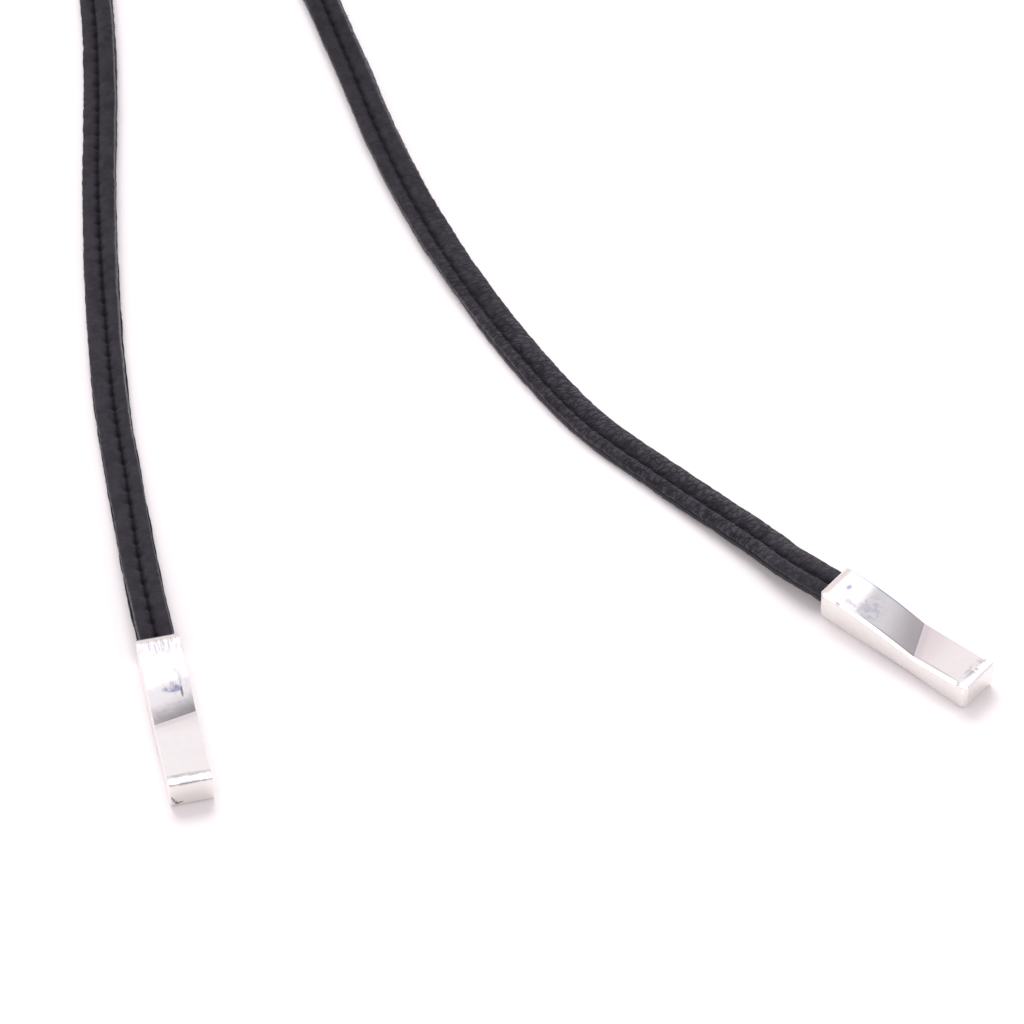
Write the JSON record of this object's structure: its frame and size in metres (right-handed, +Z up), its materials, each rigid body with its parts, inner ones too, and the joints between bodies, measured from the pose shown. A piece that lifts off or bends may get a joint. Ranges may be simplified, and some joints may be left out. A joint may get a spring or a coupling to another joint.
{
  "type": "leather strap necklace with hook clasp",
  "caption": "Undone necklace lying in a loop: a flat, sewn, layered black leather strap with an equal polished silver hook half on either end.",
  "frame": {"origin": "on the table under the middle of the box round the whole lay", "axes": "+Z up from the table, +Y from the hooks towards the closed end of the loop, +X to the right as the picture sees it"},
  "size_m": [0.1366, 0.2152, 0.0051],
  "materials": {
    "leather": "matt, sewn along the middle",
    "silver": "polished"
  },
  "bodies": {
    "root": {"leather_strap_top": "leather", "leather_strap_under": "leather", "hook_left": "silver", "hook_right": "silver"}
  },
  "joints": []
}
